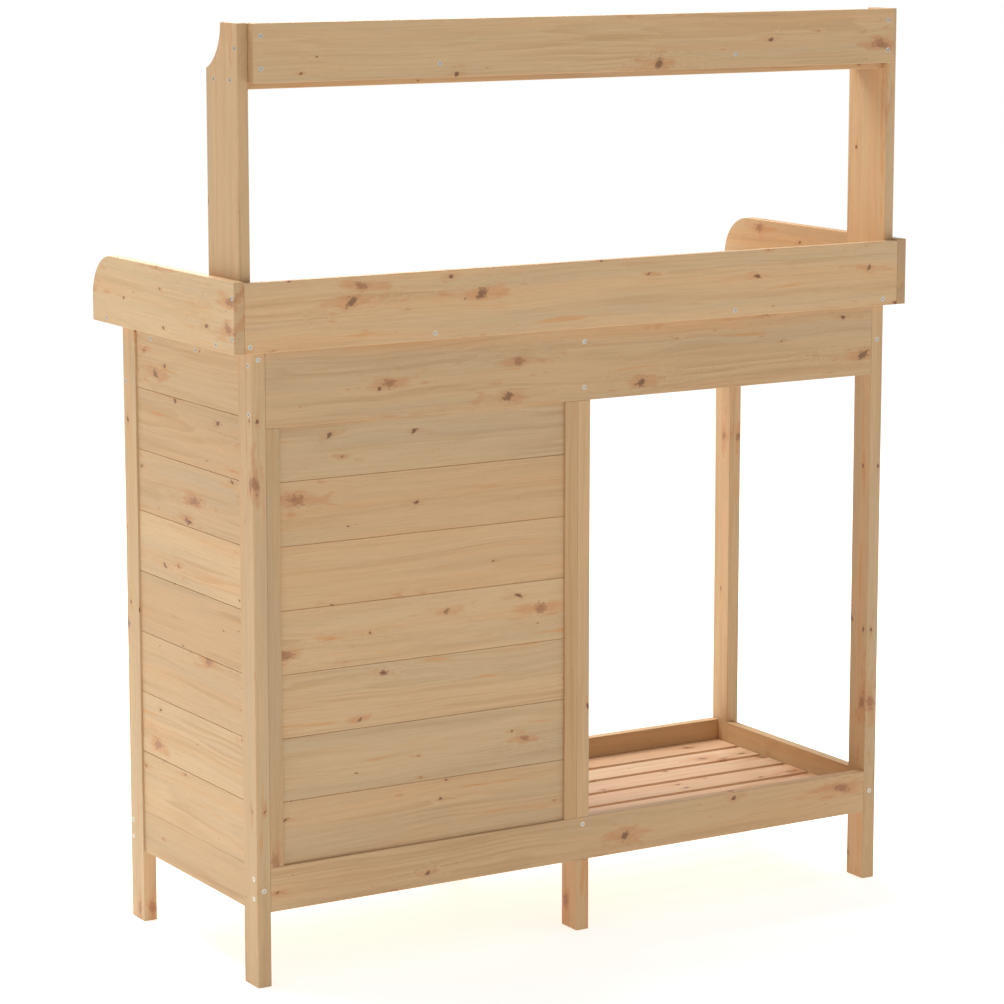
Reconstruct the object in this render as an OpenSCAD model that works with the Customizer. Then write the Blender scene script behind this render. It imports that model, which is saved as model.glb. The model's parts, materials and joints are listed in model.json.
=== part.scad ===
// Potting bench in solid softwood.
// A six-legged frame carries a planked work surface with a low splash on three sides.
// Two uprights at the back hold a narrow shelf and its rail.
// The left bay is open, with a slatted shelf; the right bay is a cabinet with a door and a drawer.
// The bench faces -Y. Left and right are as seen from the front, so right is +X.

/* [Overall] */
// Width over the outer faces of the legs
frame_w = 1020; // [800:1:1500]
// Depth over the front and rear faces of the legs
frame_d = 392; // [320:1:560]
// Height of the work surface
work_h = 868; // [720:1:1000]
// Height of the top of the back frame
total_h = 1276; // [1150:1:1600]

/* [Timber] */
// Thickness of the planks
plank_t = 15; // [12:0.5:20]
// Thickness of a leg, across the bench
leg_w = 20; // [18:0.5:30]
// Depth of a leg, front to back
leg_d = 39; // [32:1:50]
// Thickness of the panel boards
panel_t = 12; // [9:0.5:14]
// Covering width of one panel board
board_w = 86; // [60:1:110]
// Length of the tongue on a panel board
tongue_l = 5; // [3:0.5:7]
// Thickness of the tongue
tongue_t = 4; // [3:0.5:5]
// Width of the V groove along a panel board's joints
vee = 0.7; // [0.5:0.1:2]
// Gap between two panel boards
board_gap = 0.2; // [0.1:0.1:0.6]
// Width of the square battens
batten = 20; // [15:1:25]

/* [Work surface] */
// Number of planks in the work surface
top_planks = 5; // [4:1:7]
// Gap between two planks of the work surface
top_gap = 1; // [0.5:0.5:4]
// Overhang of the work surface beyond the front legs
front_overhang = 31; // [10:1:60]
// Height of the side splash boards
side_splash_h = 94; // [60:1:140]
// Height of the rear splash board
rear_splash_h = 92; // [60:1:140]
// Thickness of the rear splash board
rear_splash_t = 12; // [10:0.5:20]
// Radius of the rounded front corner of a side splash
splash_r = 60; // [20:1:60]

/* [Back frame] */
// Width of an upright, front to back
upright_d = 90; // [70:1:120]
// Height of the rail across the top
top_rail_h = 76; // [50:1:110]
// Height of the shelf's surface below the top of the back frame
shelf_drop = 50; // [30:1:100]
// Length of the flat at the top of an upright
upright_flat = 48; // [30:1:60]
// Radius of the hollow cut in the front corner of an upright
hollow_r = 63.6; // [45:0.1:90]

/* [Rails] */
// Height of the aprons under the work surface
apron_h = 101; // [80:1:130]
// Height of the bottom rails
bottom_rail_h = 61; // [50:1:90]
// Height of the underside of the bottom rails
bottom_rail_z = 102; // [60:1:160]
// Height of the rail below the drawer
drawer_rail_h = 35; // [25:1:45]

/* [Slatted floors] */
// Number of slats in each bay
slats = 6; // [4:1:8]
// Gap between two slats
slat_gap = 10; // [3:0.5:12]
// Depth of the slats' top below the top of the bottom rails
slat_drop = 31; // [20:1:40]

/* [Panels] */
// How far the rear panel lies in from the legs' rear faces
back_recess = 4; // [2:0.5:5]
// How far the side panel lies in from the legs' outer faces
side_recess = 3; // [1:0.5:4]
// Depth of the groove that holds the rear boards in their cleats
cleat_groove = 6; // [4:0.5:8]

/* [Door and drawer] */
// Gap round the door and the drawer front
door_gap = 2; // [1.5:0.25:3]
// Face width of the door's frame
stile_w = 45; // [35:1:60]
// Length of a hinge
hinge_l = 50; // [40:1:70]
// Radius of a hinge knuckle
knuckle_r = 3.2; // [3:0.1:4]
// Radius of a hinge pin
pin_r = 1.5; // [1.2:0.1:1.8]
// Radial clearance between a pin and a knuckle
pin_clear = 0.06; // [0.02:0.01:0.1]
// Largest radius of a knob
knob_r = 15; // [11:0.5:20]
// How far a knob stands out
knob_out = 24; // [18:1:32]
// Thickness of the drawer's sides
drawer_side_t = 10; // [8:0.5:12]
// Thickness of the drawer's bottom
drawer_bottom_t = 4; // [3:0.5:6]

/* [Screws] */
// Radius of a screw head
head_r = 3.4; // [2.5:0.1:4.5]
// Radius of a screw shank
shank_r = 1.7; // [1.2:0.1:2.2]
// Length of a long screw
screw_l = 38; // [32:1:50]
// Length of a short screw
short_l = 26; // [20:1:30]

/* [Hidden] */

// Main planes of the frame
back_reach = max(plank_t, rear_splash_t);
overall_d = back_reach + frame_d + front_overhang;
side_x = frame_w / 2;
inner_x = side_x - leg_w;
mid_x = leg_w / 2;
rear_y = overall_d / 2 - back_reach;
front_y = rear_y - frame_d;
rear_in_y = rear_y - leg_d;
front_in_y = front_y + leg_d;
edge_y = front_y - front_overhang;
top_z = work_h - plank_t;
apron_z = top_z - apron_h;
rail_top = bottom_rail_z + bottom_rail_h;
drawer_z = apron_z + drawer_rail_h;

// Work surface and splash
top_x = side_x + plank_t;
splash_x = top_x + plank_t;
side_splash_l = rear_splash_t + frame_d + front_overhang;
top_plank_w = (frame_d + front_overhang - (top_planks - 1) * top_gap) / top_planks;

// Back frame
shelf_z = total_h - shelf_drop - plank_t;
shelf_front_gap = 1;
rear_batten_in = 12;
front_batten_in = 12;
rear_batten_y = rear_y - rear_batten_in - batten / 2;
front_batten_y = rear_y - upright_d + front_batten_in + batten / 2;

// Slatted floors
slat_z = rail_top - slat_drop - plank_t;
slat_end = 1.5;
slat_side = 1;
bearer_h = 15;
slat_w = (frame_d - 2 * plank_t - 2 * slat_end - (slats - 1) * slat_gap) / slats;

// Panels: the uppermost rear board is cut to fit under the apron
top_row = 73;
least_row = 14;
most_rows = 24;
groove_clear = 0.15;
end_clear = 0.5;
side_rail_in = leg_w - plank_t;
side_panel_x = side_x - side_recess - panel_t;
batten_x = side_panel_x - batten;

// Door
door_x0 = mid_x + door_gap;
door_x1 = inner_x - door_gap;
door_z0 = rail_top + door_gap;
door_z1 = apron_z - door_gap;
door_panel_t = 8;
hinge_in = 60;
leaf_w = 17;
leaf_t = 1.5;
wood_clear = 0.3;
knuckle_gap = 0.4;
hinge_x = inner_x - door_gap / 2;
hinge_y = front_y - knuckle_r - wood_clear;
hinge_zs = [door_z0 + hinge_in, door_z1 - hinge_in - hinge_l];
hinge_screw_in = 11;
hinge_screw_up = 10;
knob_z = (door_z0 + door_z1) / 2 + 60;
catch_h = 40;
catch_w = 14;
catch_d = 18;
plate_t = 1.2;

// Drawer
drawer_side_clear = 3;
run_clear = 0.3;
drawer_x0 = mid_x + drawer_side_clear;
drawer_x1 = batten_x - drawer_side_clear;
drawer_l = frame_d - leg_d - plank_t - 15;
drawer_side_h = top_z - drawer_z - batten - run_clear;
drawer_y0 = front_y + plank_t;
drawer_y1 = drawer_y0 + drawer_l;
drawer_base = drawer_z + run_clear;
drawer_groove = 4;
drawer_groove_z = drawer_base + 6;
runner_h = 15;
runner_under = 15;

// Screws
screw_clear = 0.1;
hole_over = 0.5;
leg_screw_l = leg_d + 18;
rail_screw_in = 10;
end_screw_in = 11;
front_screw_in = plank_t / 2;
pan_r = 2.6;
pan_t = 1.2;
pan_shank_r = 1.2;
pan_l = 11;
cut = 1;
round_fn = 64;
small_fn = 24;

// Colours
pine = "#d9b98c";
pale_pine = "#e2c59b";
warm_pine = "#cfa877";
knob_pine = "#c99f6b";
steel = "#b9bcc0";

// ---------- Shared shapes ----------

// A plain block between two corners
module block(lo, hi) {
    translate(lo)
        cube(hi - lo);
}

// Cross-section of one panel board: thickness along x, height along y. Its outer edges are square.
module board_profile(t, h, has_groove, has_tongue) {
    g = tongue_t / 2 + groove_clear;
    depth = tongue_l + end_clear;
    low = has_groove ? [[t / 2 - g, 0], [t / 2 - g, depth], [t / 2 + g, depth], [t / 2 + g, 0]] : [];
    k = tongue_t / 2;
    high = has_tongue ? [[t / 2 + k, h], [t / 2 + k, h + tongue_l], [t / 2 - k, h + tongue_l], [t / 2 - k, h]] : [];
    polygon(concat(
        has_groove ? [[0, vee], [vee, 0]] : [[0, 0]],
        low,
        has_groove ? [[t - vee, 0], [t, vee]] : [[t, 0]],
        has_tongue ? [[t, h - vee], [t - vee, h]] : [[t, h]],
        high,
        has_tongue ? [[vee, h], [0, h - vee]] : [[0, h]]
    ));
}

// Heights of the joints between boards, from z0 to z1, both ends included
function rows(z0, z1) = concat(
    [z0],
    [for (k = [-most_rows:most_rows])
        let (z = apron_z - top_row + k * board_w)
        if (z > z0 + least_row && z < z1 - least_row) z],
    [z1]
);

// Repeats its child for each board of a panel from z0 to z1
module each_board(z0, z1) {
    z = rows(z0, z1);
    last = len(z) - 2;
    for (i = [0:last]) {
        $foot = z[i];
        $face = z[i + 1] - z[i] - (i < last ? board_gap : 0);
        $grooved = i > 0;
        $tongued = i < last;
        children();
    }
}

// A panel of boards that run along X; its rear face is at y1
module boards_along_x(x0, x1, y1, z0, z1, t) {
    each_board(z0, z1)
        translate([x0, y1 - t, $foot])
            rotate([90, 0, 90])
                linear_extrude(x1 - x0)
                    board_profile(t, $face, $grooved, $tongued);
}

// A panel of boards that run along Y between the front and rear legs
module boards_along_y(x0, z0, z1, t) {
    each_board(z0, z1)
        translate([x0, rear_in_y, $foot])
            rotate([90, 0, 0])
                linear_extrude(rear_in_y - front_in_y)
                    board_profile(t, $face, $grooved, $tongued);
}

// Outline of a countersunk screw, flush at the top, with its point below
function screw_outline(l, grow) = [
    [0, 0],
    [head_r + grow, 0],
    [head_r + grow, -0.4],
    [shank_r + grow, -0.4 - (head_r - shank_r)],
    [shank_r + grow, -l + 3],
    [0.2 + grow, -l - grow * 5],
    [0, -l - grow * 5]
];

// Countersunk screw with a cross recess, pointing down
module screw(l) {
    recess_w = 0.9;
    recess_l = head_r * 1.15;
    recess_d = 1.1;
    difference() {
        rotate_extrude($fn = small_fn)
            polygon(screw_outline(l, 0));
        for (turn = [0, 90])
            rotate([0, 0, turn + 45])
                translate([-recess_l / 2, -recess_w / 2, -recess_d])
                    cube([recess_l, recess_w, recess_d + cut]);
    }
}

// Hole for that screw
module screw_hole(l) {
    rotate_extrude($fn = small_fn)
        polygon(screw_outline(l, screw_clear));
    cylinder(r = head_r + screw_clear, h = cut, $fn = small_fn);
}

// Small round-headed screw for the hinges; it starts at the top of a leaf
module pan_screw() {
    translate([0, 0, -pan_l])
        cylinder(r = pan_shank_r, h = pan_l, $fn = small_fn);
    rotate_extrude($fn = small_fn)
        polygon([[0, 0], [pan_r, 0], [pan_r, pan_t * 0.5], [pan_r * 0.6, pan_t], [0, pan_t]]);
}

// Hole for that screw
module pan_hole() {
    translate([0, 0, -pan_l - hole_over])
        cylinder(r = pan_shank_r + screw_clear, h = pan_l + hole_over + cut, $fn = small_fn);
}

// Where a screw's head points
towards_rear = [-90, 0, 0];
towards_front = [90, 0, 0];
towards_right = [0, 90, 0];
towards_left = [0, -90, 0];
upwards = [0, 0, 0];

// Puts its children at a place, with $len set to the screw's length
module put(p, turn, l) {
    $len = l;
    translate(p)
        rotate(turn)
            children();
}

// ---------- Screw places ----------

// Heads that face the rear
module rear_places() {
    rail_y = rear_y + plank_t;
    leg_x = side_x - leg_w / 2;
    // through the legs into the ends of the side rails and of the side panel's top board
    put([leg_x, rear_y, top_z - rail_screw_in], towards_rear, leg_screw_l)
        children();
    put([-leg_x, rear_y, top_z - apron_h / 2], towards_rear, leg_screw_l)
        children();
    for (s = [-1, 1])
        put([s * leg_x, rear_y, bottom_rail_z + bottom_rail_h / 2], towards_rear, leg_screw_l)
            children();
    // apron and bottom rail onto the middle leg
    for (z = [apron_z + 18, top_z - 20, rail_top - 10])
        put([0, rear_y, z], towards_rear, short_l)
            children();
    // splash onto the edge of the work surface
    for (x = [side_x + plank_t / 2, 242, -242, rail_screw_in - side_x])
        put([x, rear_y + rear_splash_t, top_z + plank_t * 0.6], towards_rear, screw_l)
            children();
    // rail onto the shelf and its end cleats
    for (s = [-1, 1]) {
        for (x = [side_x - end_screw_in, 236])
            put([s * x, rail_y, shelf_z + plank_t / 2], towards_rear, screw_l)
                children();
        put([s * (side_x - end_screw_in), rail_y, total_h - 16], towards_rear, short_l)
            children();
    }
}

// Heads that face left or right
module side_places() {
    rear_rail_y = rear_y - rail_screw_in;
    front_rail_y = front_y + front_screw_in;
    for (s = [-1, 1]) {
        turn = s > 0 ? towards_right : towards_left;
        // legs into the rear apron and the bottom rails
        for (z = [apron_z + 19, top_z - 18, rail_top - 15, bottom_rail_z + 19])
            put([s * side_x, rear_rail_y, z], turn, screw_l)
                children();
        for (z = [rail_top - 21, bottom_rail_z + 16])
            put([s * side_x, front_rail_y, z], turn, screw_l)
                children();
        // side splash into the work surface and the rear splash
        for (y = [rear_y - 41, front_y + 13])
            put([s * splash_x, y, top_z + plank_t / 2], turn, screw_l)
                children();
        for (z = [top_z + 20, top_z + rear_splash_h - 19])
            put([s * splash_x, rear_y + rear_splash_t / 2, z], turn, screw_l)
                children();
        // uprights into the shelf's battens and cleats
        for (y = [rear_batten_y, front_batten_y])
            put([s * top_x, y, shelf_z - batten * 0.4], turn, screw_l)
                children();
        put([s * top_x, rear_y - plank_t / 2, total_h - 32], turn, short_l)
            children();
    }
    // front apron and drawer rail
    for (z = [apron_z + 19, top_z - 18])
        put([-side_x, front_rail_y, z], towards_left, screw_l)
            children();
    put([side_x, front_rail_y, apron_z + drawer_rail_h / 2], towards_right, screw_l)
        children();
    // side panel into the batten behind it
    for (y = [rear_y - 170, rear_y - 308])
        put([side_x - side_recess, y, top_z - 16], towards_right, short_l)
            children();
}

// Heads that face inwards: uprights into the splash, and the rails at the middle leg
module inner_places() {
    for (s = [-1, 1])
        for (z = [work_h + 24, work_h + 58])
            put([s * side_x, rear_y - upright_d / 2, z], s > 0 ? towards_left : towards_right, short_l)
                children();
    put([-mid_x, front_y + front_screw_in, apron_z + drawer_rail_h / 2], towards_left, screw_l)
        children();
    for (z = [drawer_z + 14, top_z - 18])
        put([mid_x, front_y + front_screw_in, z], towards_right, screw_l)
            children();
}

// Heads on top of the work surface, two to a plank at each line
module top_places() {
    quarter = top_plank_w / 4;
    for (x = [-side_x + side_rail_in + plank_t / 2, 0, batten_x + batten / 2])
        for (i = [0:top_planks - 1])
            let (y = edge_y + top_plank_w / 2 + i * (top_plank_w + top_gap))
                for (d = [-quarter, quarter])
                    if (y + d > front_in_y + 10 && y + d < rear_in_y - 10)
                        put([x, y + d, work_h], upwards, short_l)
                            children();
}

// Hinge screws, s = 1 on the leg's side and -1 on the door's side
module hinge_places(s) {
    for (z = hinge_zs)
        for (dz = [hinge_screw_up, hinge_l - hinge_screw_up])
            put([hinge_x + s * hinge_screw_in, front_y - leaf_t, z + dz], towards_front, pan_l)
                children();
}

// Cuts the chosen sets of screw holes: r rear, s side, i inner, t top
module drilled(sets) {
    difference() {
        children();
        if (len(search("r", sets)) > 0)
            rear_places() screw_hole($len);
        if (len(search("s", sets)) > 0)
            side_places() screw_hole($len);
        if (len(search("i", sets)) > 0)
            inner_places() screw_hole($len);
        if (len(search("t", sets)) > 0)
            top_places() screw_hole($len);
    }
}

// ---------- Legs ----------

// An outer leg; x and y are its lowest corner
module outer_leg(x, y) {
    block([x, y, 0], [x + leg_w, y + leg_d, top_z]);
}

module rear_right_leg() {
    color(pine)
        drilled("rs")
            outer_leg(inner_x, rear_in_y);
}

module rear_left_leg() {
    color(pine)
        drilled("rs")
            outer_leg(-side_x, rear_in_y);
}

// The rear apron and the bottom rail are let into this leg
module rear_middle_leg() {
    color(pine)
        drilled("r")
            difference() {
                outer_leg(-mid_x, rear_in_y);
                block([-mid_x - cut, rear_y - plank_t, apron_z], [mid_x + cut, rear_y + cut, top_z + cut]);
                block([-mid_x - cut, rear_y - plank_t, bottom_rail_z], [mid_x + cut, rear_y + cut, rail_top]);
            }
}

module front_right_leg() {
    color(pine)
        drilled("s")
            difference() {
                outer_leg(inner_x, front_y);
                hinge_places(1) pan_hole();
            }
}

module front_left_leg() {
    color(pine)
        drilled("s")
            outer_leg(-side_x, front_y);
}

module front_middle_leg() {
    color(pine)
        drilled("i")
            difference() {
                outer_leg(-mid_x, front_y);
                block([-mid_x - cut, front_y - cut, bottom_rail_z], [mid_x + cut, front_y + plank_t, rail_top]);
            }
}

// ---------- Aprons and rails ----------

module rear_apron() {
    color(pine)
        drilled("rs")
            block([-inner_x, rear_y - plank_t, apron_z], [inner_x, rear_y, top_z]);
}

module front_apron() {
    color(pine)
        drilled("si")
            block([-inner_x, front_y, apron_z], [-mid_x, front_y + plank_t, top_z]);
}

module drawer_rail() {
    color(pine)
        drilled("si")
            block([mid_x, front_y, apron_z], [inner_x, front_y + plank_t, drawer_z]);
}

module left_side_apron() {
    x = -side_x + side_rail_in;
    color(pale_pine)
        drilled("rt")
            block([x, front_in_y, apron_z], [x + plank_t, rear_in_y, top_z]);
}

module rear_bottom_rail() {
    color(pine)
        drilled("rs")
            block([-inner_x, rear_y - plank_t, bottom_rail_z], [inner_x, rear_y, rail_top]);
}

module front_bottom_rail() {
    color(warm_pine)
        drilled("s")
            block([-inner_x, front_y, bottom_rail_z], [inner_x, front_y + plank_t, rail_top]);
}

// A bottom rail from front to back; x is its left face
module cross_rail(x) {
    drilled("r")
        block([x, front_in_y, bottom_rail_z], [x + plank_t, rear_in_y, rail_top]);
}

module left_bottom_rail() {
    color(warm_pine)
        cross_rail(-side_x + side_rail_in);
}

module middle_bottom_rail() {
    color(warm_pine)
        cross_rail(-plank_t / 2);
}

module right_bottom_rail() {
    color(pale_pine)
        cross_rail(side_x - side_recess - plank_t);
}

// ---------- Slatted floors ----------

module slat_bearers() {
    low = slat_z - bearer_h;
    right_x = side_x - side_recess - plank_t;
    color(warm_pine) {
        block([-inner_x, front_y + plank_t, low], [-inner_x + bearer_h, rear_y - plank_t, slat_z]);
        for (x = [-plank_t / 2 - bearer_h, plank_t / 2, right_x - bearer_h])
            block([x, front_in_y, low], [x + bearer_h, rear_in_y, slat_z]);
    }
}

// One slat between two x values; number 1 is at the front
module slat(x0, x1, number) {
    y = front_y + plank_t + slat_end + (number - 1) * (slat_w + slat_gap);
    block([x0, y, slat_z], [x1, y + slat_w, slat_z + plank_t]);
}

module shelf_slat(number) {
    color(pale_pine)
        if (number <= slats)
            slat(-inner_x + slat_side, -mid_x - slat_side, number);
}

module cabinet_floor_slats() {
    color(pale_pine)
        for (number = [1:slats])
            slat(mid_x + slat_side, inner_x - slat_side, number);
}

// ---------- Work surface ----------

// One plank; number 1 is at the front
module work_plank(number) {
    y = edge_y + (number - 1) * (top_plank_w + top_gap);
    color(pale_pine)
        if (number <= top_planks)
            drilled("rst")
                block([-top_x, y, top_z], [top_x, y + top_plank_w, work_h]);
}

// Outline of a side splash: depth along x from its rear end, height along y
module splash_outline() {
    intersection() {
        square([side_splash_l, side_splash_h]);
        union() {
            square([side_splash_l - splash_r, side_splash_h]);
            square([side_splash_l, side_splash_h - splash_r]);
            translate([side_splash_l - splash_r, side_splash_h - splash_r])
                circle(r = splash_r, $fn = round_fn * 2);
        }
    }
}

// Both ends of the bench use this board; x is its left face
module side_splash(x) {
    drilled("si")
        translate([x, rear_y + rear_splash_t, top_z])
            rotate([90, 0, -90])
                translate([0, 0, -plank_t])
                    linear_extrude(plank_t)
                        splash_outline();
}

module left_splash() {
    color(pale_pine)
        side_splash(-splash_x);
}

module right_splash() {
    color(pale_pine)
        side_splash(top_x);
}

module rear_splash() {
    color(pine)
        drilled("rs")
            block([-top_x, rear_y, top_z], [top_x, rear_y + rear_splash_t, top_z + rear_splash_h]);
}

// ---------- Back frame ----------

// One upright with the hollow corner; x is its left face
module upright(x) {
    drilled("si")
        difference() {
            block([x, rear_y - upright_d, work_h], [x + plank_t, rear_y, total_h]);
            translate([x - cut, rear_y - upright_flat - hollow_r, total_h])
                rotate([0, 90, 0])
                    cylinder(r = hollow_r, h = plank_t + 2 * cut, $fn = round_fn * 2);
        }
}

module left_upright() {
    color(pale_pine)
        upright(-top_x);
}

module right_upright() {
    color(pale_pine)
        upright(side_x);
}

module top_rail() {
    color(pine)
        drilled("r")
            block([-side_x, rear_y, total_h - top_rail_h], [side_x, rear_y + plank_t, total_h]);
}

module top_shelf() {
    color(pale_pine)
        drilled("r")
            block([-side_x, rear_y - upright_d + shelf_front_gap, shelf_z], [side_x, rear_y, shelf_z + plank_t]);
}

module top_shelf_battens() {
    color(warm_pine)
        drilled("s")
            for (y = [rear_batten_y, front_batten_y])
                block([-side_x, y - batten / 2, shelf_z - batten], [side_x, y + batten / 2, shelf_z]);
}

module top_shelf_cleats() {
    color(pine)
        drilled("rs")
            for (x = [-side_x, side_x - batten])
                block([x, rear_y - plank_t, shelf_z + plank_t], [x + batten, rear_y, total_h]);
}

// ---------- Cabinet panels ----------

module back_boards() {
    hold = cleat_groove - end_clear;
    color(pine)
        boards_along_x(mid_x + batten - hold, inner_x - batten + hold, rear_y - back_recess, rail_top, apron_z, panel_t);
}

// Upright cleat beside a leg; s is the side that its groove faces
module back_cleat(x, s) {
    groove_x = s > 0 ? x + batten - cleat_groove : x - cut;
    y1 = rear_y - back_recess;
    difference() {
        block([x, rear_y - batten, rail_top], [x + batten, rear_y, apron_z]);
        block([groove_x, y1 - panel_t, rail_top - cut], [groove_x + cleat_groove + cut, y1, apron_z + cut]);
    }
}

module left_back_cleat() {
    color(pine)
        back_cleat(mid_x, 1);
}

module right_back_cleat() {
    color(pine)
        back_cleat(inner_x - batten, -1);
}

module side_boards() {
    color(pale_pine)
        drilled("rs")
            boards_along_y(side_panel_x, rail_top, top_z, panel_t);
}

module side_batten() {
    color(warm_pine)
        drilled("st")
            block([batten_x, front_in_y, top_z - batten], [side_panel_x, rear_in_y, top_z]);
}

module partition_boards() {
    color(warm_pine)
        drilled("t")
            boards_along_y(-panel_t / 2, rail_top, top_z, panel_t);
}

// ---------- Door ----------

door_back = front_y + plank_t;
door_panel_y = front_y + (plank_t + door_panel_t) / 2;

// The groove that runs round the inside of the door's frame
module door_groove() {
    block(
        [door_x0 + stile_w - cleat_groove, door_panel_y - door_panel_t, door_z0 + stile_w - cleat_groove],
        [door_x1 - stile_w + cleat_groove, door_panel_y, door_z1 - stile_w + cleat_groove]
    );
}

module door_stiles() {
    color(pine)
        difference() {
            for (x = [door_x0, door_x1 - stile_w])
                block([x, front_y, door_z0], [x + stile_w, door_back, door_z1]);
            door_groove();
            hinge_places(-1) pan_hole();
            translate([door_x0 + stile_w / 2, front_y, knob_z])
                rotate(towards_front)
                    knob_screw_hole();
            catch_plate_hole();
        }
}

module door_rails() {
    color(pine)
        difference() {
            for (z = [door_z0, door_z1 - stile_w])
                block([door_x0 + stile_w, front_y, z], [door_x1 - stile_w, door_back, z + stile_w]);
            door_groove();
        }
}

module door_boards() {
    hold = stile_w - cleat_groove + end_clear;
    color(pale_pine)
        boards_along_x(door_x0 + hold, door_x1 - hold, door_panel_y, door_z0 + hold, door_z1 - hold, door_panel_t);
}

// Turned knob that stands on its foot, with a stub that goes into the wood
knob_foot_r = knob_r * 0.55;
knob_neck_r = knob_r * 0.42;
knob_stub_r = 3;
knob_stub_l = 10;
knob_steps = 20;

function knob_outline() = concat(
    [[0, 0], [knob_foot_r, 0], [knob_foot_r, 1.5]],
    [for (i = [0:knob_steps])
        let (t = i / knob_steps, a = 180 * t)
        [knob_neck_r + (knob_foot_r - knob_neck_r) * pow(1 - t, 3) + (knob_r - knob_neck_r) * (1 - cos(a)) / 2,
         2 + (knob_out * 0.66 - 2) * t]],
    [for (i = [1:knob_steps])
        let (a = 90 * i / knob_steps)
        [knob_r * cos(a), knob_out * 0.66 + knob_out * 0.34 * sin(a)]]
);

module knob() {
    rotate_extrude($fn = round_fn)
        polygon(knob_outline());
    translate([0, 0, -knob_stub_l])
        cylinder(r = knob_stub_r, h = knob_stub_l, $fn = small_fn);
}

module knob_screw_hole() {
    translate([0, 0, -knob_stub_l - hole_over])
        cylinder(r = knob_stub_r + screw_clear, h = knob_stub_l + hole_over + cut, $fn = small_fn);
}

module door_knob() {
    color(knob_pine)
        translate([door_x0 + stile_w / 2, front_y, knob_z])
            rotate(towards_front)
                knob();
}

// ---------- Hinges ----------

// One leaf of a hinge whose foot is at height z; s = 1 on the leg, -1 on the door.
// The leg's leaf carries the two end knuckles and the door's leaf the middle one.
module hinge_leaf(z, s) {
    third = hinge_l / 3;
    spans = s > 0
        ? [[0, third - knuckle_gap / 2], [2 * third + knuckle_gap / 2, hinge_l]]
        : [[third + knuckle_gap / 2, 2 * third - knuckle_gap / 2]];
    start = knuckle_r + wood_clear;
    x0 = s > 0 ? start : -leaf_w;
    x1 = s > 0 ? leaf_w : -start;
    translate([hinge_x, hinge_y, z])
        difference() {
            union() {
                block([x0, knuckle_r + wood_clear - leaf_t, 0], [x1, knuckle_r + wood_clear, hinge_l]);
                for (span = spans) {
                    translate([0, 0, span[0]])
                        cylinder(r = knuckle_r, h = span[1] - span[0], $fn = round_fn);
                    block(
                        [min(0, s * start), knuckle_r + wood_clear - leaf_t, span[0]],
                        [max(0, s * start), knuckle_r - 0.2, span[1]]
                    );
                }
            }
            translate([0, 0, -cut])
                cylinder(r = pin_r + pin_clear, h = hinge_l + 2 * cut, $fn = round_fn);
        }
}

module hinge_leaves_frame() {
    color(steel)
        difference() {
            for (z = hinge_zs)
                hinge_leaf(z, 1);
            hinge_places(1) pan_hole();
        }
}

module hinge_leaves_door() {
    color(steel)
        difference() {
            for (z = hinge_zs)
                hinge_leaf(z, -1);
            hinge_places(-1) pan_hole();
        }
}

// Pins with a low head at both ends, clear of the knuckles' faces
module hinge_pins() {
    head_h = 1.2;
    face_clear = 0.1;
    color(steel)
        for (z = hinge_zs)
            translate([hinge_x, hinge_y, z]) {
                translate([0, 0, -face_clear])
                    cylinder(r = pin_r, h = hinge_l + 2 * face_clear, $fn = round_fn);
                for (end = [-face_clear - head_h, hinge_l + face_clear])
                    translate([0, 0, end])
                        cylinder(r = knuckle_r * 0.8, h = head_h, $fn = round_fn);
            }
}

// ---------- Catch ----------

catch_z = knob_z - catch_h / 2;

// Magnetic catch on the middle leg, behind the door's free edge
module catch_body() {
    y0 = door_back + plate_t + wood_clear;
    color("#e8e6e0")
        difference() {
            block([mid_x, y0, catch_z], [mid_x + catch_w, y0 + catch_d, catch_z + catch_h]);
            for (z = [catch_z + 5, catch_z + catch_h - 11])
                block([mid_x + 8, y0 - cut, z], [mid_x + 10, y0 + 2, z + 6]);
        }
}

module catch_plate_hole() {
    translate([door_x0 + 6, door_back, knob_z])
        rotate(towards_rear)
            translate([0, 0, -8])
                cylinder(r = 1.3, h = 8 + cut, $fn = small_fn);
}

// Steel plate on the back of the door, with the pin that holds it
module catch_plate() {
    color(steel) {
        block([door_x0 + 1, door_back, knob_z - 15], [door_x0 + 11, door_back + plate_t, knob_z + 15]);
        translate([door_x0 + 6, door_back, knob_z])
            rotate(towards_rear)
                translate([0, 0, -7])
                    cylinder(r = 1.2, h = 7, $fn = small_fn);
    }
}

// ---------- Drawer ----------

// The groove that holds the drawer's bottom, in its front and sides
module drawer_bottom_groove() {
    inner = drawer_side_t - drawer_groove;
    block(
        [drawer_x0 + inner, drawer_y0 - drawer_groove, drawer_groove_z],
        [drawer_x1 - inner, drawer_y1 + cut, drawer_groove_z + drawer_bottom_t]
    );
}

drawer_front_z0 = drawer_z + door_gap;
drawer_front_z1 = top_z - door_gap;
drawer_knob_x = (door_x0 + door_x1) / 2;
drawer_knob_z = (drawer_front_z0 + drawer_front_z1) / 2;

module drawer_front() {
    color(pine)
        difference() {
            block([door_x0, front_y, drawer_front_z0], [door_x1, drawer_y0, drawer_front_z1]);
            drawer_bottom_groove();
            translate([drawer_knob_x, front_y, drawer_knob_z])
                rotate(towards_front)
                    knob_screw_hole();
        }
}

module drawer_sides() {
    color(pale_pine)
        difference() {
            for (x = [drawer_x0, drawer_x1 - drawer_side_t])
                block([x, drawer_y0, drawer_base], [x + drawer_side_t, drawer_y1, drawer_base + drawer_side_h]);
            drawer_bottom_groove();
        }
}

module drawer_back() {
    color(pale_pine)
        block(
            [drawer_x0 + drawer_side_t, drawer_y1 - drawer_side_t, drawer_groove_z + drawer_bottom_t],
            [drawer_x1 - drawer_side_t, drawer_y1, drawer_base + drawer_side_h]
        );
}

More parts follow.
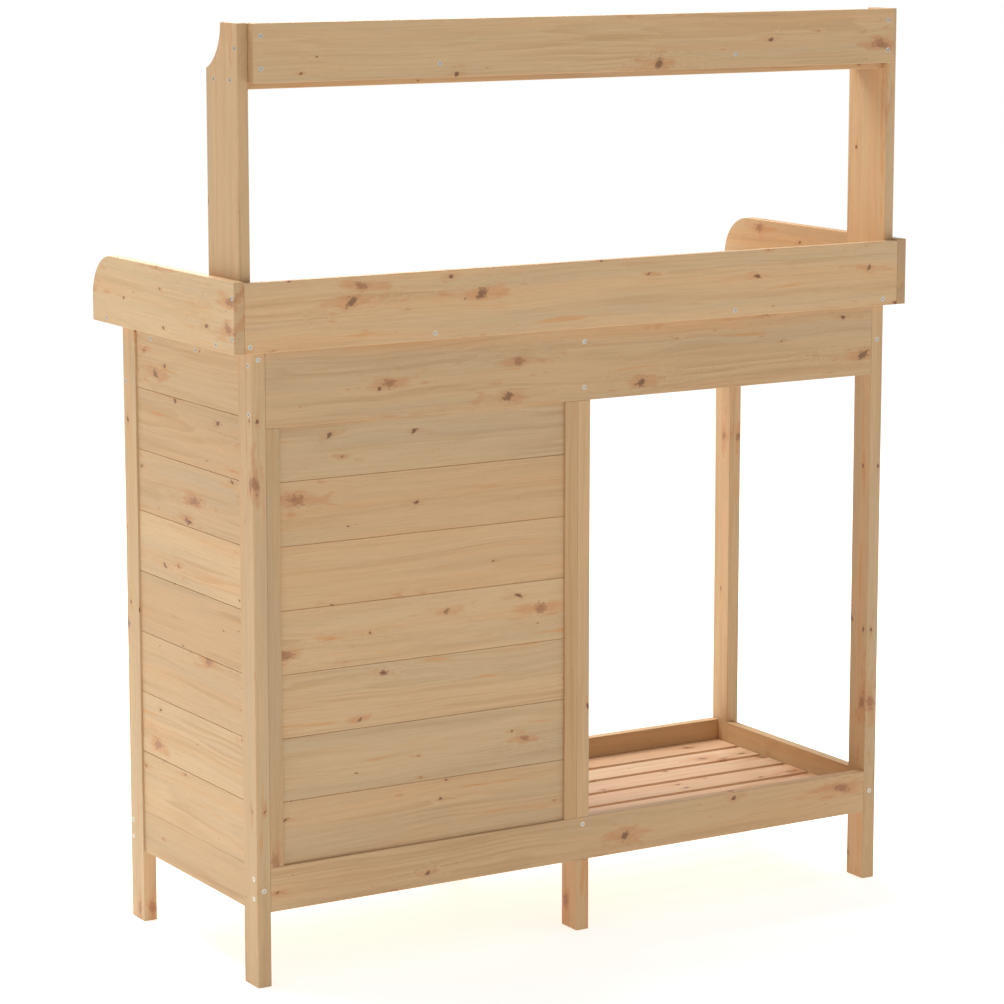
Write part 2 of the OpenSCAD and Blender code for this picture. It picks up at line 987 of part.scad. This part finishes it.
module drawer_bottom() {
    inner = drawer_side_t - drawer_groove + groove_clear;
    color("#e7d2ad")
        block(
            [drawer_x0 + inner, drawer_y0 - drawer_groove + groove_clear, drawer_groove_z],
            [drawer_x1 - inner, drawer_y1, drawer_groove_z + drawer_bottom_t]
        );
}

module drawer_knob() {
    color(knob_pine)
        translate([drawer_knob_x, front_y, drawer_knob_z])
            rotate(towards_front)
                knob();
}

// Strips below the drawer's sides, on the partition and on the side panel
module drawer_runners() {
    z0 = drawer_z - runner_h;
    color(warm_pine) {
        block([panel_t / 2, front_in_y, z0], [drawer_x0 + runner_under, rear_in_y, drawer_z]);
        block([drawer_x1 - runner_under, front_in_y, z0], [side_panel_x, rear_in_y, drawer_z]);
    }
}

// ---------- Fasteners ----------

module frame_screws() {
    color(steel) {
        rear_places() screw($len);
        side_places() screw($len);
        inner_places() screw($len);
        top_places() screw($len);
        hinge_places(1) pan_screw();
    }
}

module door_screws() {
    color(steel)
        hinge_places(-1) pan_screw();
}

rear_right_leg();
rear_middle_leg();
rear_left_leg();
front_right_leg();
front_middle_leg();
front_left_leg();
rear_apron();
front_apron();
drawer_rail();
left_side_apron();
rear_bottom_rail();
front_bottom_rail();
left_bottom_rail();
middle_bottom_rail();
right_bottom_rail();
slat_bearers();
work_plank(1);  // work_plank_1
work_plank(2);  // work_plank_2
work_plank(3);  // work_plank_3
work_plank(4);  // work_plank_4
work_plank(5);  // work_plank_5
left_splash();
right_splash();
rear_splash();
left_upright();
right_upright();
top_rail();
top_shelf();
top_shelf_battens();
top_shelf_cleats();
shelf_slat(1);  // shelf_slat_1
shelf_slat(2);  // shelf_slat_2
shelf_slat(3);  // shelf_slat_3
shelf_slat(4);  // shelf_slat_4
shelf_slat(5);  // shelf_slat_5
shelf_slat(6);  // shelf_slat_6
cabinet_floor_slats();
back_boards();
left_back_cleat();
right_back_cleat();
side_boards();
side_batten();
partition_boards();
door_stiles();
door_rails();
door_boards();
door_knob();
hinge_leaves_frame();
hinge_leaves_door();
hinge_pins();
catch_body();
catch_plate();
drawer_front();
drawer_sides();
drawer_back();
drawer_bottom();
drawer_knob();
drawer_runners();
frame_screws();
door_screws();
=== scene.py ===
import json
import math
import random
from collections import namedtuple

import bmesh
import bpy
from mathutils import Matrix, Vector


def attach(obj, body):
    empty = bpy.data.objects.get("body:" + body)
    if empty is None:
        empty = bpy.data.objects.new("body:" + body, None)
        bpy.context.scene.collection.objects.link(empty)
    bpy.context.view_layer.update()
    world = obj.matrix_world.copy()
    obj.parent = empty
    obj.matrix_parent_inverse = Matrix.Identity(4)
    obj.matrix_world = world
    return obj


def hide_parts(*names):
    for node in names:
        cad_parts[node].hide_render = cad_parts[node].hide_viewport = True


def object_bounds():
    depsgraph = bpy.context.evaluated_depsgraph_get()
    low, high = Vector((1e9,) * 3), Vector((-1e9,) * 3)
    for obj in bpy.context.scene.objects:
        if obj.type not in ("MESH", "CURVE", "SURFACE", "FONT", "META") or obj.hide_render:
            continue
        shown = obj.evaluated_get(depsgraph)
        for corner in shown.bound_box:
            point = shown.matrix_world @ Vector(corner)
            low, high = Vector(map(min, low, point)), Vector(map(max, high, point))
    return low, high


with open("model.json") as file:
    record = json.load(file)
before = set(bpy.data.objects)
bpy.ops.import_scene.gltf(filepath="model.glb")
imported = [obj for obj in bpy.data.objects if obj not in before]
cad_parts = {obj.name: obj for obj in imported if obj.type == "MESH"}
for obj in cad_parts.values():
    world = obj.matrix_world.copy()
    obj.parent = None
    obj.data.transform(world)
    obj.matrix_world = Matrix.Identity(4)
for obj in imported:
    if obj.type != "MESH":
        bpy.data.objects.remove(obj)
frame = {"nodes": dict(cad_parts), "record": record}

# Looks of the potting bench: planed pine, zinc-plated screws and hinges, on a plain pale floor.
# Every wooden CAD node is replaced by a piece that also carries its own grain; all but the panels and the knobs
# get eased edges.

# Timber, in metres
EASE = 0.0008  # how far the long edges of planed timber are eased
EASE_STEPS = 3
LONG_EDGE = 0.0012  # shorter edges are the rims of screw holes
SAME_POINT = 1e-6
SHARP = math.radians(60)  # edges sharper than this are eased
SMOOTH = math.radians(14)  # faces that meet flatter than this are shaded as one
FLAT = math.radians(0.5)  # faces that meet flatter than this are joined
PANELS = ("back_boards", "side_boards", "partition_boards", "door_boards")

# Log that each board is sawn from
LOG_LENGTH = 40.0
PITH_ASIDE = 0.045  # farthest that the pith lies to the side of a board's middle
PITH_DEPTH = (0.02, 0.075)  # how far it lies behind or before the board's middle
END_FACING = 0.7  # a face that turns this much along the board is end grain

# Camera
CAMERA_AT = (2.5176, 4.1559, 1.4498)
CAMERA_TURN = 148.88  # degrees about Z, anticlockwise from looking along +Y
CAMERA_DOWN = 9.16  # degrees below level
LENS = 123.9
SENSOR = 36.0
CAMERA_SHIFT = -0.06

# Studio
WORLD_LIGHT = 0.44  # how strongly the surroundings light the bench
WORLD_SHOWN = 1.0  # how bright they look to the camera
FLOOR_GLOW = 0.6  # the floor is a lit panel, so that shadows on it stay faint
FLOOR_HALF = 30.0
WHITE = (1.0, 1.0, 1.0, 1.0)
KEY = {"at": (0.5, -1.3, 3.4), "size": 2.4, "watts": 118, "tint": (1.0, 0.985, 0.96)}
FRONT = {"at": (-1.4, -3.3, 2.2), "size": 1.6, "watts": 52, "tint": (1.0, 0.97, 0.93)}


def clear_default_scene():
    for name in ("Cube", "Light", "Camera"):
        found = bpy.data.objects.get(name)
        if found and name not in frame["nodes"]:
            bpy.data.objects.remove(found)


clear_default_scene()
cad_low, cad_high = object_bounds()
slot_of = {part["node"]: part["material_slot"] for part in frame["record"]["subparts"]}
body_of = {n: body for body, nodes in frame["record"]["behaviour"]["bodies"].items() for n in nodes}


# ---------- Nodes ----------


class Graph:
    """A material's node tree, with short names for what this script uses."""

    def __init__(self, tree):
        self.tree = tree
        tree.nodes.clear()

    def add(self, kind, *inputs, **settings):
        """Adds a node. Inputs are values or sockets, in order; settings are the node's own properties."""
        node = self.tree.nodes.new(kind)
        for key, value in settings.items():
            setattr(node, key, value)
        for socket, value in zip((s for s in node.inputs if s.enabled), inputs):
            self.plug(socket, value)
        return node

    def plug(self, socket, value):
        if value is None:
            return
        if isinstance(value, bpy.types.NodeSocket):
            self.tree.links.new(value, socket)
        else:
            socket.default_value = value

    def math(self, operation, a, b=None, c=None):
        node = self.add("ShaderNodeMath", operation=operation)
        for socket, value in zip(node.inputs, (a, b, c)):
            self.plug(socket, value)
        return node.outputs[0]

    def vector(self, operation, a, b=None):
        node = self.add("ShaderNodeVectorMath", operation=operation)
        self.plug(node.inputs[0], a)
        self.plug(node.inputs[1], b)
        return node.outputs["Value" if operation == "LENGTH" else "Vector"]

    def split(self, vector):
        return self.add("ShaderNodeSeparateXYZ", vector).outputs

    def join(self, x, y, z):
        return self.add("ShaderNodeCombineXYZ", x, y, z).outputs[0]

    def noise(self, vector, detail=2.0, roughness=0.5, colour=False):
        node = self.add("ShaderNodeTexNoise")
        self.plug(node.inputs["Vector"], vector)
        self.plug(node.inputs["Scale"], 1.0)
        self.plug(node.inputs["Detail"], detail)
        self.plug(node.inputs["Roughness"], roughness)
        return node.outputs["Color" if colour else "Fac"]

    def ramp(self, value, low, high, to_low=0.0, to_high=1.0):
        """Smoothly maps low..high to to_low..to_high."""
        node = self.add("ShaderNodeMapRange", interpolation_type="SMOOTHSTEP")
        names = ("Value", "From Min", "From Max", "To Min", "To Max")
        for name, v in zip(names, (value, low, high, to_low, to_high)):
            self.plug(node.inputs[name], v)
        return node.outputs["Result"]

    def mix(self, share, a, b, blend="MIX"):
        node = self.add("ShaderNodeMix", data_type="RGBA", blend_type=blend)
        for name, v in (("Factor_Float", share), ("A_Color", a), ("B_Color", b)):
            self.plug(next(s for s in node.inputs if s.identifier == name), v)
        return next(s for s in node.outputs if s.identifier == "Result_Color")

    def attribute(self, name, output):
        node = self.add("ShaderNodeAttribute", attribute_name=name)
        return node.outputs[output]

    def finish(self, colour, roughness, bumps, **shader):
        """Ends the tree in one Principled shader. bumps are (height, distance) pairs, coarse to fine."""
        normal = None
        for height, distance in bumps:
            node = self.add("ShaderNodeBump")
            self.plug(node.inputs["Distance"], distance)
            self.plug(node.inputs["Height"], height)
            self.plug(node.inputs["Normal"], normal)
            normal = node.outputs["Normal"]
        shade = self.add("ShaderNodeBsdfPrincipled")
        self.plug(shade.inputs["Base Color"], colour)
        self.plug(shade.inputs["Roughness"], roughness)
        self.plug(shade.inputs["Normal"], normal)
        for name, value in shader.items():
            self.plug(shade.inputs[name.replace("_", " ")], value)
        out = self.add("ShaderNodeOutputMaterial")
        self.plug(out.inputs["Surface"], shade.outputs[0])


def new_material(name):
    made = bpy.data.materials.new(name)
    made.use_nodes = True
    return made, Graph(made.node_tree)


def rgb(r, g, b):
    """An sRGB colour, 11 to 255, as a linear one with full alpha."""
    return tuple(((v / 255 + 0.055) / 1.055) ** 2.4 for v in (r, g, b)) + (1.0,)


# ---------- Pine ----------

# Every pattern is laid in the grain attribute: metres along the board, across it and through it.

RING = 0.0052  # spacing of the growth rings
RING_DRIFT = 2.4  # how many rings their spacing wanders by
WAVE = 0.026  # how far the grain waves from side to side
KNOT_RING = 0.0012
KNOT_EDGE = 0.06  # share of the draws over which knots fade in
SMALLEST_KNOT = 0.0005

# How many cells of noise there are per metre along, across and through the board
WAVE_CELLS = (2.6, 9, 9)
RING_CELLS = (1.2, 60, 60)
FIBRE_CELLS = (7, 430, 430)
PORE_CELLS = (34, 1500, 1500)
KNOT_EDGE_CELLS = (160, 240, 240)
HALO_EDGE_CELLS = (34, 120, 120)
FLECK_CELLS = (420, 700, 700)

# Knots: the size of the places they fall in, the largest radius, and the share of places without one
KNOTS = {"spacing": (0.20, 0.066), "largest": 0.0070, "empty": 0.46, "shift": (0.0, 0.0, 0.0)}
PIN_KNOTS = {"spacing": (0.125, 0.043), "largest": 0.0032, "empty": 0.55, "shift": (3.0, 5.0, 0.0)}

# Soft bands along the board: cells per metre, a shift to tell them apart, and the noise where they start and end
LATE_BANDS = ((1.9, 24, 24), (7.0, 3.0, 1.0), 0.38, 0.72)
WARM_BANDS = ((1.7, 34, 34), (2.0, 9.0, 4.0), 0.47, 0.70)
GREY_BANDS = ((1.5, 26, 26), (5.0, 1.0, 8.0), 0.44, 0.68)
BROWN_BANDS = ((2.2, 80, 80), (1.0, 6.0, 2.0), 0.50, 0.74)
RESIN_BANDS = ((5.0, 70, 70), (4.0, 2.0, 9.0), 0.64, 0.74)

PALE = rgb(210, 180, 139)
DEEP = rgb(178, 139, 97)
STREAK = rgb(216, 163, 112)
GREY = rgb(194, 170, 136)
RESIN = rgb(211, 150, 91)
PORE = rgb(143, 106, 69)
HALO = rgb(196, 132, 84)
KNOT_PALE = rgb(178, 124, 86)
KNOT_BROWN = rgb(134, 87, 59)
KNOT_DARK = rgb(94, 60, 42)
KNOT_FLECK = rgb(79, 47, 33)
PIN_KNOT = rgb(108, 67, 46)
END_GRAIN = rgb(165, 124, 84)

Knots = namedtuple("Knots", "core halo swerve rings lean")


def nearest_knot(g, place, spacing, shift):
    """Where a point lies from the nearest knot, along and across, and two random draws for that knot."""
    along, across = spacing
    x, y, through = g.split(g.vector("ADD", place, shift))
    y = g.math("ADD", y, through)  # so that knots show round on a board's faces and on its edges
    cell = g.add("ShaderNodeTexVoronoi", voronoi_dimensions="2D", feature="F1")
    g.plug(cell.inputs["Vector"], g.join(g.math("DIVIDE", x, along), g.math("DIVIDE", y, across), 0.0))
    g.plug(cell.inputs["Scale"], 1.0)
    near_x, near_y, _ = g.split(cell.outputs["Position"])
    dx = g.math("SUBTRACT", x, g.math("MULTIPLY", near_x, along))
    dy = g.math("SUBTRACT", y, g.math("MULTIPLY", near_y, across))
    lot, lean, _ = g.split(cell.outputs["Color"])
    return dx, dy, lot, lean


def knots(g, place, spacing, largest, empty, shift):
    """Knots scattered over a board, each with a ragged core in a longer halo."""
    dx, dy, lot, lean = nearest_knot(g, place, spacing, shift)
    size = g.math("ADD", g.ramp(lot, empty, 1.0, 0.0, largest), SMALLEST_KNOT)
    present = g.ramp(lot, empty, empty + KNOT_EDGE)

    skew = g.math("MULTIPLY", g.math("SUBTRACT", lean, 0.5), 1.4)
    slant = g.math("ADD", dx, g.math("MULTIPLY", dy, skew))
    stretch = g.ramp(lean, 0.0, 1.0, 0.55, 0.95)
    core = g.vector("LENGTH", g.join(g.math("MULTIPLY", slant, stretch), dy, 0.0))
    ragged = g.noise(g.vector("MULTIPLY", place, KNOT_EDGE_CELLS), 2.0)
    core = g.math("MULTIPLY", core, g.math("MULTIPLY_ADD", ragged, 2.6, -0.2))

    wide = g.vector("LENGTH", g.join(g.math("MULTIPLY", slant, 0.24), dy, 0.0))
    drifting = g.noise(g.vector("MULTIPLY", place, HALO_EDGE_CELLS), 3.0)
    wide = g.math("MULTIPLY", wide, g.math("MULTIPLY_ADD", drifting, 4.0, -0.9))
    reach = g.math("DIVIDE", wide, size)

    return Knots(
        core=g.math("MULTIPLY", g.ramp(g.math("DIVIDE", core, size), 0.45, 1.35, 1.0, 0.0), present),
        halo=g.math("MULTIPLY", g.ramp(reach, 0.4, 2.0, 1.0, 0.0), present),
        swerve=g.math("MULTIPLY", g.ramp(reach, 0.2, 4.0, 1.0, 0.0), g.math("MULTIPLY", size, 2.2)),
        rings=g.math("FRACT", g.math("DIVIDE", core, KNOT_RING)),
        lean=lean,
    )


def bands(g, place, cells, shift, start, full):
    """Long soft bands along the board."""
    moved = g.vector("MULTIPLY", g.vector("ADD", place, shift), cells)
    return g.ramp(g.noise(moved, 3.0, 0.55), start, full)


def wave(g, place):
    """The place, with slow waves from side to side along the board."""
    drift = g.noise(g.vector("MULTIPLY", place, WAVE_CELLS), 2.0, colour=True)
    drift = g.vector("SUBTRACT", drift, (0.5, 0.5, 0.5))
    return g.vector("ADD", place, g.vector("MULTIPLY", drift, (0.0, WAVE, WAVE)))


def late_wood(g, place, bent, swerve):
    """The darker part of each growth ring round the pith, stronger in some bands than in others."""
    _, across, through = g.split(bent)
    radius = g.math("ADD", g.vector("LENGTH", g.join(0.0, across, through)), swerve)
    uneven = g.noise(g.vector("MULTIPLY", place, RING_CELLS), 1.0)
    turn = g.math("ADD", g.math("DIVIDE", radius, RING), g.math("MULTIPLY", uneven, RING_DRIFT))
    phase = g.math("FRACT", turn)
    late = g.math("MULTIPLY", g.ramp(phase, 0.15, 0.90), g.ramp(phase, 0.90, 1.0, 1.0, 0.0))
    return g.math("MULTIPLY", late, bands(g, bent, *LATE_BANDS))


def clear_wood(g, bent, tone, late, pale, deep, streak):
    """Colour of the wood between the knots."""
    board_hue = g.math("FRACT", g.math("MULTIPLY", tone, 7.3))
    colour = g.mix(g.math("MULTIPLY", late, 0.55), pale, deep)
    colour = g.mix(g.math("MULTIPLY", board_hue, 0.34), colour, streak)
    colour = g.mix(g.math("MULTIPLY", bands(g, bent, *WARM_BANDS), 0.36), colour, streak)
    colour = g.mix(g.math("MULTIPLY", bands(g, bent, *GREY_BANDS), 0.50), colour, GREY)
    colour = g.mix(g.math("MULTIPLY", bands(g, bent, *BROWN_BANDS), 0.38), colour, deep)
    return g.mix(g.math("MULTIPLY", bands(g, bent, *RESIN_BANDS), 0.7), colour, RESIN)


def paint_knots(g, place, colour, big, pin, knotty):
    """Adds the halos, then the knots in them. knotty fades both: 1 for all, 0 for none."""
    halo = g.math("MAXIMUM", big.halo, g.math("MULTIPLY", pin.halo, 0.6))
    colour = g.mix(g.math("MULTIPLY", halo, 0.50 * knotty), colour, HALO)
    knot_colour = g.mix(big.rings, KNOT_PALE, KNOT_BROWN)
    knot_colour = g.mix(g.ramp(big.lean, 0.60, 0.80), knot_colour, KNOT_DARK)
    flecks = g.ramp(g.noise(g.vector("MULTIPLY", place, FLECK_CELLS), 2.0, 0.6), 0.52, 0.62)
    knot_colour = g.mix(g.math("MULTIPLY", flecks, 0.65), knot_colour, KNOT_FLECK)
    colour = g.mix(g.math("MULTIPLY", big.core, 0.68 * knotty), colour, knot_colour)
    return g.mix(g.math("MULTIPLY", pin.core, 0.82 * knotty), colour, PIN_KNOT)


def pine(name, pale, deep, streak, knotty=1.0, gloss=0.52):
    """Planed pine. pale and deep are its early and late wood; streak is the resin-rich tint."""
    made, g = new_material(name)
    place = g.attribute("grain", "Vector")
    tone = g.attribute("tone", "Fac")
    end = g.attribute("end", "Fac")

    big = knots(g, place, **KNOTS)
    pin = knots(g, place, **PIN_KNOTS)
    bent = wave(g, place)
    late = late_wood(g, place, bent, g.math("ADD", big.swerve, pin.swerve))
    fibre = g.noise(g.vector("MULTIPLY", bent, FIBRE_CELLS), 3.0, 0.6)
    pores = g.noise(g.vector("MULTIPLY", bent, PORE_CELLS), 2.0, 0.6)

    colour = clear_wood(g, bent, tone, late, pale, deep, streak)
    colour = g.mix(g.ramp(fibre, 0.34, 0.64, 0.18, 0.0), colour, deep)
    colour = g.mix(g.ramp(pores, 0.30, 0.48, 0.14, 0.0), colour, PORE)
    colour = paint_knots(g, place, colour, big, pin, knotty)
    colour = g.mix(g.math("MULTIPLY", end, 0.30), colour, END_GRAIN)
    shade = g.math("MULTIPLY_ADD", tone, 0.16, 0.92)
    colour = g.mix(1.0, colour, g.join(shade, shade, shade), "MULTIPLY")

    polish = g.math("MULTIPLY_ADD", big.core, -0.12, gloss)
    rough = g.math("ADD", g.math("MULTIPLY", fibre, 0.16), polish)
    relief = g.math("ADD", g.math("MULTIPLY", late, 0.5), g.math("MULTIPLY", big.core, 0.9))
    bumps = [(relief, 0.00012), (fibre, 0.00025), (pores, 0.00010)]
    g.finish(colour, rough, bumps, Specular_IOR_Level=0.3)
    return made


def wood_materials():
    slat = (rgb(222, 187, 153), rgb(194, 152, 112), rgb(220, 168, 129))
    batten = (rgb(207, 172, 127), rgb(176, 133, 91), rgb(207, 148, 99))
    knob = (rgb(207, 170, 123), rgb(172, 126, 82), rgb(200, 144, 95))
    ply = (rgb(218, 189, 150), rgb(194, 159, 116), rgb(209, 168, 123))
    made = {name: pine(name, PALE, DEEP, STREAK) for name in ("leg_pine", "rail_pine", "board_pine")}
    made["slat_pine"] = pine("slat_pine", *slat)
    made["batten_pine"] = pine("batten_pine", *batten, knotty=0.7)
    made["knob_pine"] = pine("knob_pine", *knob, knotty=0.0, gloss=0.38)
    made["thin_ply"] = pine("thin_ply", *ply, knotty=0.0, gloss=0.6)
    return made


# ---------- Metal and plastic ----------


SPANGLE = rgb(168, 168, 170)
BRIGHT_ZINC = rgb(214, 210, 204)
SHADED_PLASTIC = rgb(214, 210, 200)


def steel(name, tint, cells, roughness):
    """Zinc-plated steel with a faint spangle. The more cells of noise per metre, the finer its brushing."""
    made, g = new_material(name)
    place = g.add("ShaderNodeTexCoord").outputs["Object"]
    brushed = g.noise(g.vector("MULTIPLY", place, cells), 3.0, 0.7)
    spangle = g.noise(g.vector("MULTIPLY", place, (420, 420, 420)), 2.0)
    colour = g.mix(g.ramp(spangle, 0.35, 0.7, 0.0, 0.35), tint, SPANGLE)
    colour = g.mix(g.ramp(brushed, 0.4, 0.7, 0.0, 0.25), colour, BRIGHT_ZINC)
    rough = g.math("ADD", g.math("MULTIPLY", brushed, 0.18), roughness)
    g.finish(colour, rough, [(brushed, 0.00003)], Metallic=1.0)
    return made


def moulded_plastic(name, tint):
    """Plastic with a fine moulded texture and faint flow marks."""
    made, g = new_material(name)
    place = g.add("ShaderNodeTexCoord").outputs["Object"]
    grain = g.noise(g.vector("MULTIPLY", place, (1800, 1800, 1800)), 2.0)
    flow = g.noise(g.vector("MULTIPLY", place, (60, 60, 25)), 2.0)
    colour = g.mix(g.ramp(flow, 0.35, 0.7, 0.0, 0.25), tint, SHADED_PLASTIC)
    g.finish(colour, g.ramp(grain, 0.3, 0.7, 0.38, 0.52), [(grain, 0.00004)])
    return made


def other_materials():
    return {
        "screw_steel": steel("screw_steel", rgb(214, 205, 190), (500, 500, 500), 0.30),
        "hinge_steel": steel("hinge_steel", rgb(204, 206, 212), (900, 900, 40), 0.24),
        "catch_plastic": moulded_plastic("catch_plastic", rgb(232, 230, 224)),
    }


# ---------- Timber pieces ----------


def solids(bm):
    """The separate solids of a mesh, each as a list of vertices."""
    left = set(bm.verts)
    found = []
    for first in bm.verts:
        if first not in left:
            continue
        left.discard(first)
        group, queue = [], [first]
        while queue:
            vert = queue.pop()
            group.append(vert)
            for edge in vert.link_edges:
                other = edge.other_vert(vert)
                if other in left:
                    left.discard(other)
                    queue.append(other)
        found.append(group)
    return found


def ease_edges(bm):
    """Rounds the outer edges, but not the rims of the screw holes."""
    outer = [e for e in bm.edges if e.is_manifold and e.is_convex and e.calc_length() > LONG_EDGE]
    edges = [e for e in outer if e.calc_face_angle() > SHARP]
    size = {"offset": EASE, "segments": EASE_STEPS, "profile": 0.5}
    bmesh.ops.bevel(bm, geom=edges, affect="EDGES", clamp_overlap=True, **size)


def lay_grain(bm, name):
    """Gives each solid its place in a log: x runs along its longest side, y and z are measured from the pith."""
    chance = random.Random(name)
    grain = bm.verts.layers.float_vector.new("grain")
    tone = bm.verts.layers.float.new("tone")
    end = bm.faces.layers.float.new("end")
    for group in solids(bm):
        low = [min(v.co[i] for v in group) for i in range(3)]
        high = [max(v.co[i] for v in group) for i in range(3)]
        size = [high[i] - low[i] for i in range(3)]
        along, across, through = sorted(range(3), key=lambda i: -size[i])
        start = chance.uniform(0, LOG_LENGTH)
        side = chance.uniform(-PITH_ASIDE, PITH_ASIDE)
        depth = chance.choice((-1, 1)) * chance.uniform(*PITH_DEPTH)
        lightness = chance.random()
        middle = [(low[i] + high[i]) / 2 for i in range(3)]
        for v in group:
            from_middle = [v.co[i] - middle[i] for i in range(3)]
            v[grain] = Vector((v.co[along] + start, from_middle[across] + side, from_middle[through] + depth))
            v[tone] = lightness
        for face in {f for v in group for f in v.link_faces}:
            face[end] = 1.0 if abs(face.normal[along]) > END_FACING else 0.0


def timber_piece(node, material):
    """Makes the visible piece for a wooden CAD node."""
    bm = bmesh.new()
    bm.from_mesh(frame["nodes"][node].data)
    bmesh.ops.remove_doubles(bm, verts=bm.verts, dist=SAME_POINT)
    bmesh.ops.dissolve_limit(bm, angle_limit=FLAT, verts=bm.verts, edges=bm.edges)
    if node not in PANELS and not node.endswith("knob"):
        ease_edges(bm)
    bm.normal_update()
    lay_grain(bm, node)
    for face in bm.faces:
        face.material_index = 0
    mesh = bpy.data.meshes.new(node + "_wood")
    bm.to_mesh(mesh)
    bm.free()
    mesh.materials.append(material)
    mesh.shade_smooth()
    mesh.set_sharp_from_angle(angle=SMOOTH)
    piece = bpy.data.objects.new(node + "_wood", mesh)
    bpy.context.scene.collection.objects.link(piece)
    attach(piece, body_of[node])
    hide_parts(node)


def dress():
    """Puts every material on: wooden nodes become timber pieces, the others keep their own shape."""
    woods, others = wood_materials(), other_materials()
    for node in sorted(frame["nodes"]):
        slot = slot_of[node]
        if slot in woods:
            timber_piece(node, woods[slot])
        else:
            for material_slot in frame["nodes"][node].material_slots:
                material_slot.material = others[slot]


# ---------- Studio ----------


def make_floor():
    """A pale floor that reaches past the view on every side."""
    bm = bmesh.new()
    bmesh.ops.create_grid(bm, x_segments=1, y_segments=1, size=FLOOR_HALF)
    mesh = bpy.data.meshes.new("floor")
    bm.to_mesh(mesh)
    bm.free()
    floor = bpy.data.objects.new("floor", mesh)
    bpy.context.scene.collection.objects.link(floor)
    floor.location.z = cad_low.z
    made, g = new_material("floor_paint")
    place = g.add("ShaderNodeTexCoord").outputs["Object"]
    cloud = g.noise(g.vector("MULTIPLY", place, (3, 3, 3)), 3.0)
    colour = g.mix(cloud, rgb(250, 250, 249), rgb(246, 246, 245))
    rough = g.ramp(cloud, 0.3, 0.7, 0.85, 0.95)
    glow = {"Emission_Color": WHITE, "Emission_Strength": FLOOR_GLOW}
    g.finish(colour, rough, [(cloud, 0.0002)], Specular_IOR_Level=0.1, **glow)
    mesh.materials.append(made)


def make_world():
    """Even white surroundings. They look white to the camera and light the bench more gently."""
    world = bpy.data.worlds.new("studio")
    world.use_nodes = True
    bpy.context.scene.world = world
    g = Graph(world.node_tree)
    seen = g.add("ShaderNodeLightPath").outputs["Is Camera Ray"]
    strength = g.math("MULTIPLY_ADD", seen, WORLD_SHOWN - WORLD_LIGHT, WORLD_LIGHT)
    back = g.add("ShaderNodeBackground")
    g.plug(back.inputs["Color"], WHITE)
    g.plug(back.inputs["Strength"], strength)
    out = g.add("ShaderNodeOutputWorld")
    g.plug(out.inputs["Surface"], back.outputs[0])


def make_softbox(name, at, size, watts, tint):
    """An area light that faces the middle of the bench."""
    data = bpy.data.lights.new(name, "AREA")
    data.shape = "DISK"
    data.size = size
    data.energy = watts
    data.color = tint
    light = bpy.data.objects.new(name, data)
    bpy.context.scene.collection.objects.link(light)
    light.location = at
    aim = (cad_low + cad_high) / 2 - Vector(at)
    light.rotation_euler = aim.to_track_quat("-Z", "Y").to_euler()


def make_camera():
    data = bpy.data.cameras.new("camera")
    data.lens = LENS
    data.sensor_width = SENSOR
    data.shift_y = CAMERA_SHIFT
    data.clip_end = 4 * FLOOR_HALF
    camera = bpy.data.objects.new("camera", data)
    bpy.context.scene.collection.objects.link(camera)
    camera.location = CAMERA_AT
    camera.rotation_euler = (math.radians(90 - CAMERA_DOWN), 0.0, math.radians(CAMERA_TURN))
    bpy.context.scene.camera = camera


bpy.context.scene.view_settings.view_transform = "Standard"
dress()
make_floor()
make_world()
make_softbox("key", **KEY)
make_softbox("front", **FRONT)
make_camera()
